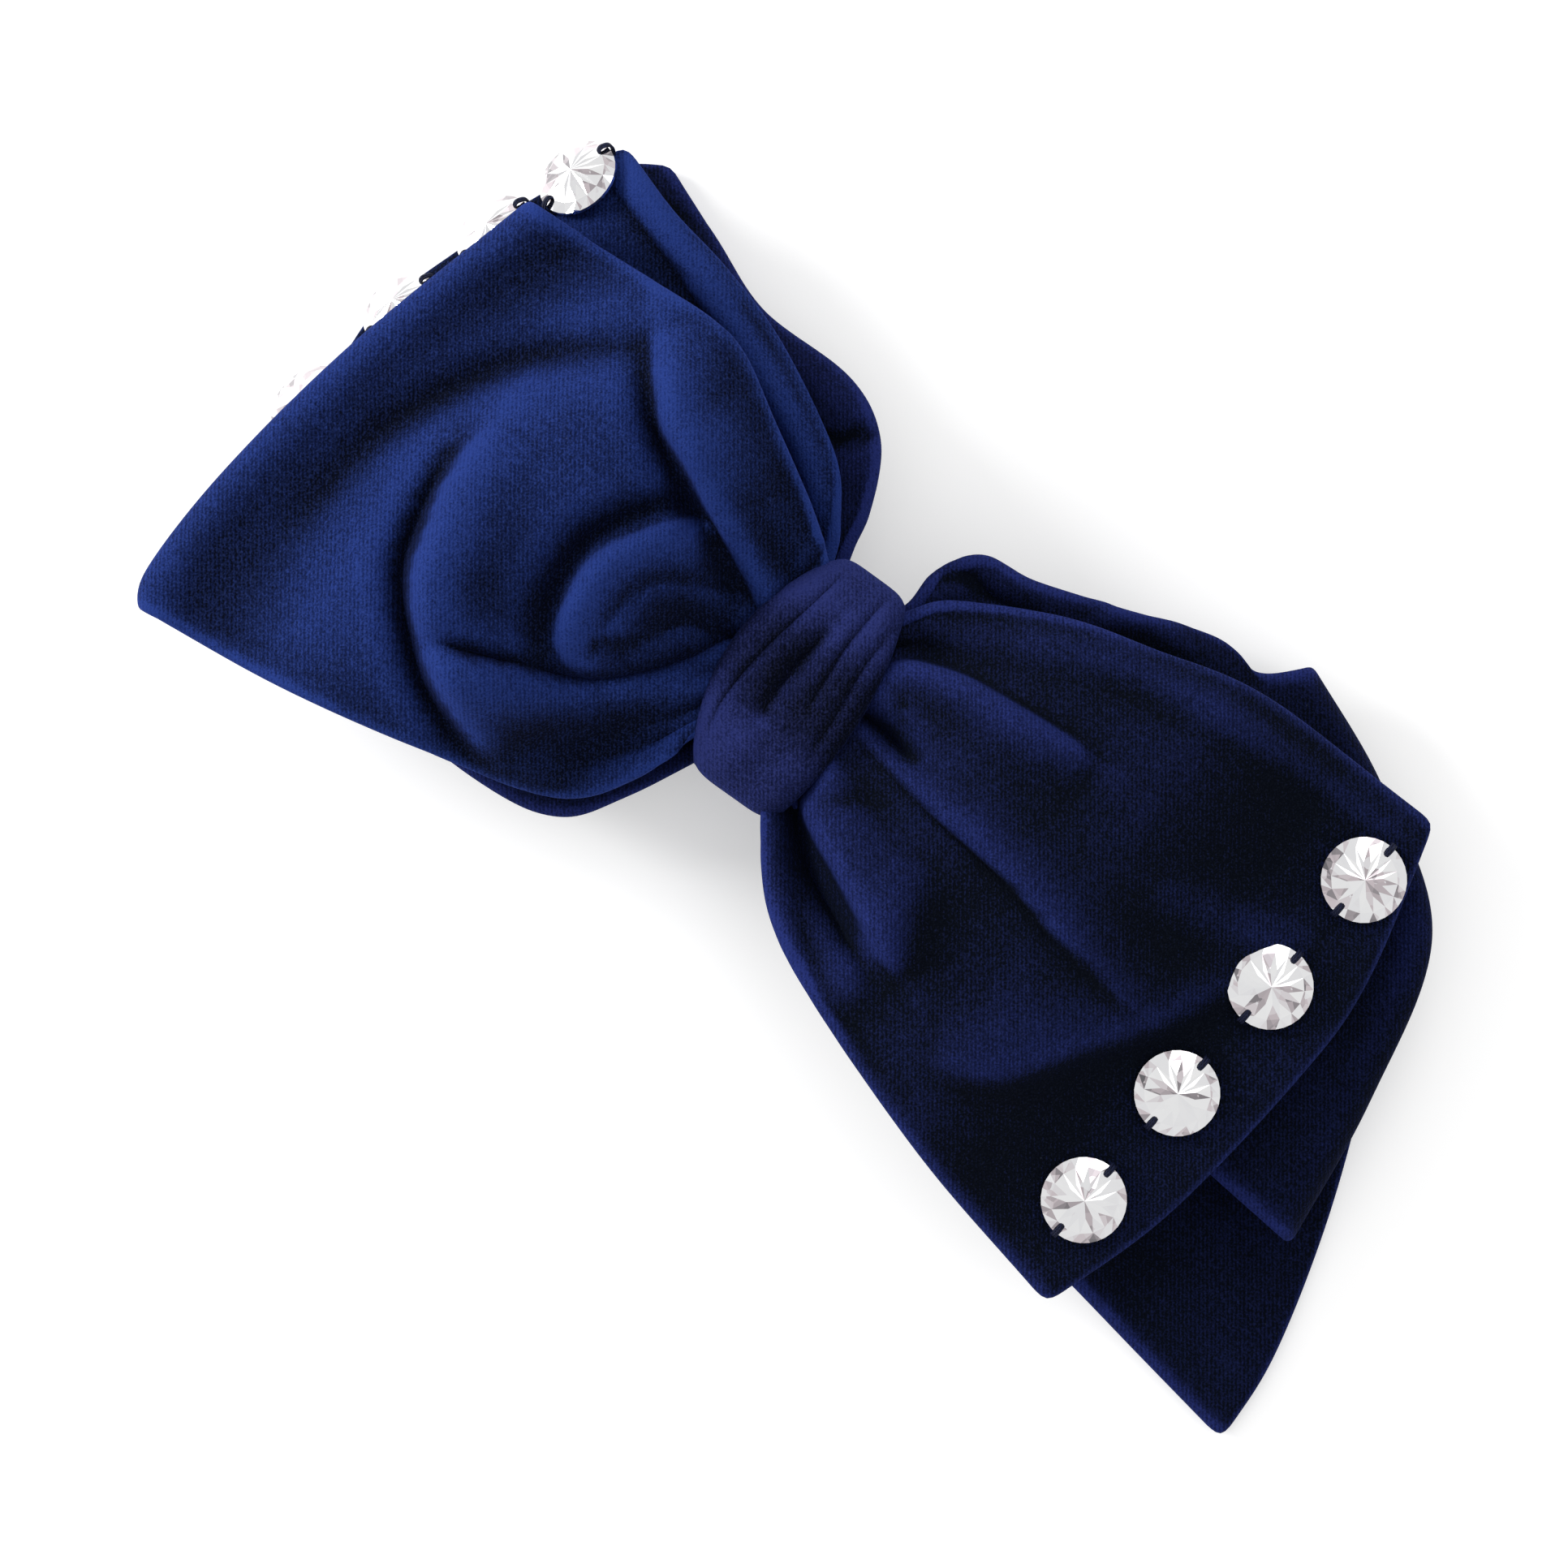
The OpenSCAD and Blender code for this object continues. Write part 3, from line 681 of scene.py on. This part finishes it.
def crystal_material():
    """Clear crystal with a mirror foil behind it; its facets carry painted reflections, most white, a few
    grey or pink.
    """
    n = Nodes("foiled_crystal")
    painted_facet_flash = n.add("Attribute", attribute_name="painted_facet_flash").outputs["Fac"]
    place = n.add("TexCoord").outputs["Object"]
    inner = n.add("TexVoronoi", feature="F1")
    inner.inputs["Scale"].default_value = 520
    n.link(place, inner.inputs["Vector"])
    # The brightness of each facet and the small inner mosaic are painted reflections.
    from_facet = n.maths("MULTIPLY", painted_facet_flash, 0.72)
    from_inside = n.maths("MULTIPLY", inner.outputs["Color"], 0.28)
    flash = n.maths("ADD", from_facet, from_inside)
    colours = ((0.0, (0.07, 0.07, 0.08)), (0.14, (0.32, 0.29, 0.31)), (0.24, (0.66, 0.58, 0.61)))
    colours += ((0.36, (0.88, 0.88, 0.90)), (1.0, (1.0, 1.0, 1.0)))
    n.link(n.ramp(flash, colours), n.shader.inputs["Base Color"])
    n.set(Metallic=1.0, Roughness=0.05, Coat_Weight=1.0, Coat_Roughness=0.01)
    return n.material


# Pieces


# Each lobe from the back of the bow to its front: its grid, its turn, its folds, its two shape values,
# its finish, its slot, and the flat sheet assumed for it (width, length and area in metres).
LOBE_PLANS = {
    # The under pieces and the back loop take the darkest shaded copy of the velvet and the right tail a
    # shaded copy of its own, painted shade.
    "under_panel_left": (
        tail_grid, LEFT_TURN, UNDER_PANEL_FOLDS, 0, 2,
        "velvet_dark", "velvet_dark", (0.100, 0.090, 0.0077),
    ),
    "under_tail_right": (
        tail_grid, BACK_RIGHT_TURN, UNDER_TAIL_FOLDS, 0, 0,
        "velvet_dark", "velvet_dark", (0.100, 0.128, 0.0100),
    ),
    "jewel_tail_left": (
        tail_grid, LEFT_TURN, BACK_TAIL_FOLDS, 0, 1,
        "velvet", "velvet", (0.097, 0.098, 0.0080),
    ),
    "loop_back_right": (
        loop_grid, BACK_RIGHT_TURN, BACK_LOOP_FOLDS, 3.2, 1,
        "velvet_dark", "velvet_dark", (0.090, 0.215, 0.0155),
    ),
    "loop_front_left": (
        loop_grid, LEFT_TURN, LOOP_FOLDS, 4, 7,
        "velvet", "velvet", (0.092, 0.205, 0.0155),
    ),
    "jewel_tail_right": (
        tail_grid, FRONT_RIGHT_TURN, TAIL_FOLDS, 3, 1.5,
        "velvet_tail_shaded", "velvet", (0.097, 0.106, 0.0083),
    ),
}


def build_lobes(materials):
    """The six velvet lobes, each declared as a sheet with the flat size assumed for it."""
    for node, (make_grid, turn, folds, first, second, finish, slot, flat) in LOBE_PLANS.items():
        piece = cloth_piece(node, make_grid(node, turn, folds, first, second), materials[finish], slot)


def knot_grid():
    """Middle surface of the wrap, once round the waist and across its width, and its relief."""
    low, high = (np.array(c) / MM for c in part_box("knot_wrap"))
    low, high = low + KNOT_T / 2, high - KNOT_T / 2
    centre, half = (low + high) / 2, (high - low) / 2
    t = np.linspace(0, 2 * np.pi, 181)[:-1, None]
    s = np.linspace(-1, 1, 49)[None, :]
    squareness = 0.62
    y = centre[1] + half[1] * np.sign(np.cos(t)) * np.abs(np.cos(t)) ** squareness
    z = centre[2] + half[2] * np.sign(np.sin(t)) * np.abs(np.sin(t)) ** squareness
    front = ease(-0.1, 0.5, np.sin(t))
    swell = np.cos(np.clip(y / half[1], -1, 1) * np.pi / 2) ** 0.8 * (0.3 + 0.7 * front)
    left = -6.7 - 6.0 * swell
    right = 7.1 - 0.07 * y + 3.3 * swell
    x = left + (right - left) * (s + 1) / 2
    plan = np.dstack(np.broadcast_arrays(x, y + 0 * s))
    folds, _, _ = apply_folds(plan, KNOT_FOLDS)
    relief = front * (1.9 + folds - 2.8 * np.abs(s) ** 6)
    out = unit(np.dstack([np.zeros_like(y), np.cos(t) / half[1], np.sin(t) / half[2]]))
    middle = np.dstack([plan, z + 0 * s])
    return middle + out * relief[..., None], relief


def band_shell(grid, thickness):
    """Points and faces of a closed band with rounded rims; the grid's first axis goes round it."""
    around, across = grid.shape[:2]
    wrapped = np.concatenate([grid[-1:], grid, grid[:1]])
    du = unit(np.gradient(wrapped, axis=0)[1:-1])
    dv = unit(np.gradient(grid, axis=1))
    normal = unit(np.cross(dv, du))
    centre = grid.reshape(-1, 3).mean(0)
    if (normal[0, across // 2] * (grid[0, across // 2] - centre)).sum() < 0:
        normal = -normal
    half = thickness / 2
    columns = [grid[:, j] + half * normal[:, j] for j in range(across)]
    columns += [grid[:, -1] + half * dv[:, -1]]
    columns += [grid[:, j] - half * normal[:, j] for j in range(across - 1, -1, -1)]
    columns += [grid[:, 0] - half * dv[:, 0]]
    points = np.stack(columns, 1)
    cells = np.arange(points.shape[0] * points.shape[1]).reshape(points.shape[:2])
    right, up = np.roll(cells, -1, axis=1), np.roll(cells, -1, axis=0)
    both = np.roll(right, -1, axis=0)
    quads = np.stack([cells, right, both, up], -1).reshape(-1, 4)
    return points.reshape(-1, 3), quads


def build_knot(material):
    """The pleated wrap of the knot, a closed band, with painted sheen brighter towards its ends and painted
    shade over its middle.
    """
    grid, relief = knot_grid()
    points, faces = band_shell(grid, KNOT_T)
    mesh = make_mesh("knot_wrap_cloth", points, faces)
    # Painted sheen brighter towards the knot's ends, and painted shade over its middle.
    painted_sheen_ends = 0.6 * ease(3, 13, np.abs(grid[..., 1]))
    light_and_shade = np.clip(painted_light_and_shade(grid, 1.6 * relief) + painted_sheen_ends - 0.2, 0, 1.2)
    add_painted_light(mesh, np.hstack([light_and_shade, light_and_shade[:, -1:], light_and_shade[:, ::-1], light_and_shade[:, :1]]).ravel())
    piece = make_piece("knot_wrap_cloth", mesh, material, "velvet_knot", "knot_wrap")
    smooth = piece.modifiers.new("smooth", "SUBSURF")
    smooth.levels = smooth.render_levels = 1


def seat_of(stone_node, thread_node):
    """Where a crystal sits: its own frame, with Z out of its front and Y along its holes."""
    points = np.array([v.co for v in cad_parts[stone_node].data.vertices])
    holes = np.array([v.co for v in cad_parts[thread_node].data.vertices])
    centre = holes.mean(0)
    _, _, axes = np.linalg.svd(points - points.mean(0), full_matrices=False)
    front = axes[2] * np.sign(axes[2][2])
    _, _, spread = np.linalg.svd(holes - centre, full_matrices=False)
    line = spread[0] - front * (spread[0] @ front)
    line = line / np.linalg.norm(line) * np.sign(line[1])
    side = np.cross(line, front)
    heights = (points - centre) @ front
    base = centre + front * heights.min()
    return Matrix(np.block([[np.stack([side, line, front], 1), base[:, None]], [0, 0, 0, 1]]).tolist())


CRYSTAL_RADIUS = 7.0
FACETS = 16


def crystal_points():
    """The crystal's points ring by ring from its tip to its back, and where each ring starts."""
    radius, height, girdle_low, girdle_high = CRYSTAL_RADIUS, 4.2, 1.2, 1.75
    rings = [(0.0, height, 1, 0), (0.42 * radius, 3.5, FACETS, 0), (0.78 * radius, 2.6, FACETS, 0.5)]
    rings += [(radius, girdle_high, 2 * FACETS, 0.25), (radius, girdle_low, 2 * FACETS, 0.25)]
    rings += [(0.35 * radius, 0.0, FACETS, 0)]
    points, starts = [], []
    for r, z, n, turn in rings:
        starts.append(len(points))
        for k in range(n):
            a = 2 * math.pi * (k + turn) / n
            points.append((r * math.cos(a), r * math.sin(a), z))
    return points, starts


def crystal_faces(starts):
    """The crown's facets, the back's, the girdle and the flat back."""
    top, inner, outer, high, low, back = starts
    faces = []
    for k in range(FACETS):
        k1 = (k + 1) % FACETS
        second, third = (2 * k + 1) % (2 * FACETS), (2 * k + 2) % (2 * FACETS)
        faces.append((top, inner + k, outer + k, inner + k1))
        faces.append((inner + k1, outer + k, outer + k1))
        faces.append((outer + k, high + 2 * k, high + second))
        faces.append((outer + k, high + second, outer + k1))
        faces.append((outer + k1, high + second, high + third))
        faces.append((low + 2 * k, back + k, back + k1, low + second))
        faces.append((low + second, back + k1, low + third))
    for k in range(2 * FACETS):
        k1 = (k + 1) % (2 * FACETS)
        faces.append((high + k, low + k, low + k1, high + k1))
    faces.append(tuple(back + k for k in range(FACETS - 1, -1, -1)))
    return faces


def crystal_mesh(material, seed):
    """Round crystal: a low facetted cone in front, a thin girdle and a shallow back."""
    points, starts = crystal_points()
    mesh = bpy.data.meshes.new("crystal")
    mesh.from_pydata([[c * MM for c in p] for p in points], [], crystal_faces(starts))
    mesh.validate()
    mesh.materials.append(material)
    # Painted reflections: each facet gets a random brightness, greyer towards the rim.
    centres = [(face.center.x, face.center.y) for face in mesh.polygons]
    outwards = np.array([math.hypot(x, y) / MM / CRYSTAL_RADIUS for x, y in centres])
    draws = np.random.default_rng(seed).random(len(mesh.polygons))
    shade = draws * (1 - 0.4 * ease(0.7, 0.95, outwards))
    attribute = mesh.attributes.new("painted_facet_flash", "FLOAT", "FACE")
    attribute.data.foreach_set("value", shade.astype(np.float32))
    return mesh


def stitch_mesh(material):
    """The stitches of one crystal: strands from each hole over the rim and into the velvet."""
    hole, rim, strand = 5.3, 7.35, 0.22
    tubes = []
    for side in (1, -1):
        for k in (-1, 0, 1):
            lift = 0.12 * (1 - abs(k))
            path = [
                (0.18 * k, side * hole, 0.4), (0.24 * k, side * hole, 2.4 + lift),
                (0.30 * k, side * (hole + 0.8), 2.95 + lift), (0.36 * k, side * rim, 2.1 + lift),
                (0.40 * k, side * (rim + 0.1), 0.9), (0.36 * k, side * (rim - 0.5), -0.1),
                (0.34 * k, side * (rim - 1.8), -0.5),
            ]
            tubes.append(tube(path, strand))
    points = np.vstack([t[0] for t in tubes])
    faces, start = [], 0
    for ring_points, ring_faces in tubes:
        faces.append(ring_faces + start)
        start += len(ring_points)
    mesh = make_mesh("stitches", points, np.vstack(faces))
    mesh.materials.append(material)
    return mesh


def tube(path, radius, sides=8):
    """Points and faces of a round strand along a smooth path, closed at both ends."""
    line = smooth_line(path, 26)
    tangent = unit(np.gradient(line, axis=0))
    across = unit(np.cross(tangent, np.array([1.0, 0, 0]) + 0 * tangent))
    up = np.cross(across, tangent)
    turns = np.linspace(0, 2 * np.pi, sides, endpoint=False)
    taper = np.full(len(line), radius)
    taper[[0, -1]] = radius * 0.05
    outwards = np.cos(turns)[:, None] * across[:, None] + np.sin(turns)[:, None] * up[:, None]
    points = (line[:, None] + taper[:, None, None] * outwards).reshape(-1, 3)
    cells = np.arange(len(points)).reshape(len(line), sides)
    right = np.roll(cells, -1, axis=1)
    return points, np.stack([cells[:-1], right[:-1], right[1:], cells[1:]], -1).reshape(-1, 4)


def build_crystals(materials):
    """Both rows of four crystals with their stitches, seated where the CAD has them."""
    stitches = stitch_mesh(materials["thread"])
    for seed, row in ((10, "front"), (20, "back")):
        for k in range(1, 5):
            name = f"{row}_{k}"
            stone = crystal_mesh(materials["crystal"], seed + k)
            seat = seat_of("crystal_" + name, "thread_" + name)
            for label, mesh, slot in (("crystal", stone, "crystal"), ("thread", stitches, "thread")):
                piece = bpy.data.objects.new(f"{label}_{name}_seen", mesh)
                bpy.context.scene.collection.objects.link(piece)
                piece.matrix_world = seat
                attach(piece, "root")
                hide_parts(f"{label}_{name}")


def finish_cad_nodes(materials):
    """The barrette and the waist's binding stay as packed, with better materials."""
    finishes = {
        "waist_binding": "thread", "barrette_base": "steel", "hinge_pin": "steel",
        "tension_leaf": "spring_steel", "clasp_arm": "steel", "catch_bracket": "steel",
        "catch_wing_upper": "spring_steel", "catch_wing_lower": "spring_steel",
    }
    for name, finish in finishes.items():
        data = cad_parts[name].data
        data.materials.clear()
        data.materials.append(materials[finish])


# Stage


def add_light(name, place, size, power):
    """A round soft light that faces the bow."""
    data = bpy.data.lights.new(name, "AREA")
    data.shape = "DISK"
    data.size = size
    data.energy = power
    light = bpy.data.objects.new(name, data)
    light.location = place
    light.rotation_euler = (-Vector(place)).to_track_quat("-Z", "Y").to_euler()
    bpy.context.scene.collection.objects.link(light)


def build_floor(scene):
    """White floor under the bow."""
    n = Nodes("white_floor")
    n.set(Base_Color=(0.85, 0.85, 0.85, 1), Roughness=0.9, Specular_IOR_Level=0.1)
    n.set(Emission_Color=(1, 1, 1, 1), Emission_Strength=0.3)
    side, low = 3.0, cad_low.z - 0.0005
    corners = [(-side, -side, low), (side, -side, low), (side, side, low), (-side, side, low)]
    mesh = bpy.data.meshes.new("floor")
    mesh.from_pydata(corners, [], [(0, 1, 2, 3)])
    mesh.materials.append(n.material)
    floor = bpy.data.objects.new("floor", mesh)
    scene.collection.objects.link(floor)


def build_lights(scene):
    """White surroundings, a soft key light from the picture's upper left, and a weaker fill."""
    world = bpy.data.worlds.new("studio")
    world.use_nodes = True
    world.node_tree.nodes["Background"].inputs[0].default_value = (1, 1, 1, 1)
    world.node_tree.nodes["Background"].inputs[1].default_value = 0.8
    scene.world = world
    left = np.array([-math.cos(PICTURE_TURN), -math.sin(PICTURE_TURN)])
    up = np.array([-math.sin(PICTURE_TURN), math.cos(PICTURE_TURN)])
    key = 0.8 * left + 0.35 * up
    add_light("key", (key[0], key[1], 0.42), 0.4, 7)
    fill = -0.3 * left + 0.7 * up
    add_light("fill", (fill[0], fill[1], 0.8), 0.8, 2)


def build_camera(scene):
    """Looks straight down, turned as the picture is. Its distance is a guess."""
    camera_data = bpy.data.cameras.new("camera")
    camera_data.lens = LENS
    camera = bpy.data.objects.new("camera", camera_data)
    camera.location = (VIEW_CENTRE[0] * MM, VIEW_CENTRE[1] * MM, CAMERA_HEIGHT)
    camera.rotation_euler = (0, 0, PICTURE_TURN)
    scene.collection.objects.link(camera)
    scene.camera = camera


def build_stage():
    """Floor, lights and camera."""
    scene = bpy.context.scene
    scene.view_settings.view_transform = "Standard"
    build_floor(scene)
    build_lights(scene)
    build_camera(scene)


def main():
    build_stage()
    materials = {
        **{key: velvet(*values) for key, values in VELVETS.items()},
        "crystal": crystal_material(),
        "thread": thread_material(),
        "steel": brushed_steel("nickel_steel", (0.62, 0.61, 0.60)),
        "spring_steel": brushed_steel("spring_steel", (0.48, 0.48, 0.50)),
    }
    build_lobes(materials)
    build_knot(materials["velvet_knot"])
    build_crystals(materials)
    finish_cad_nodes(materials)
    bpy.context.view_layer.update()


main()
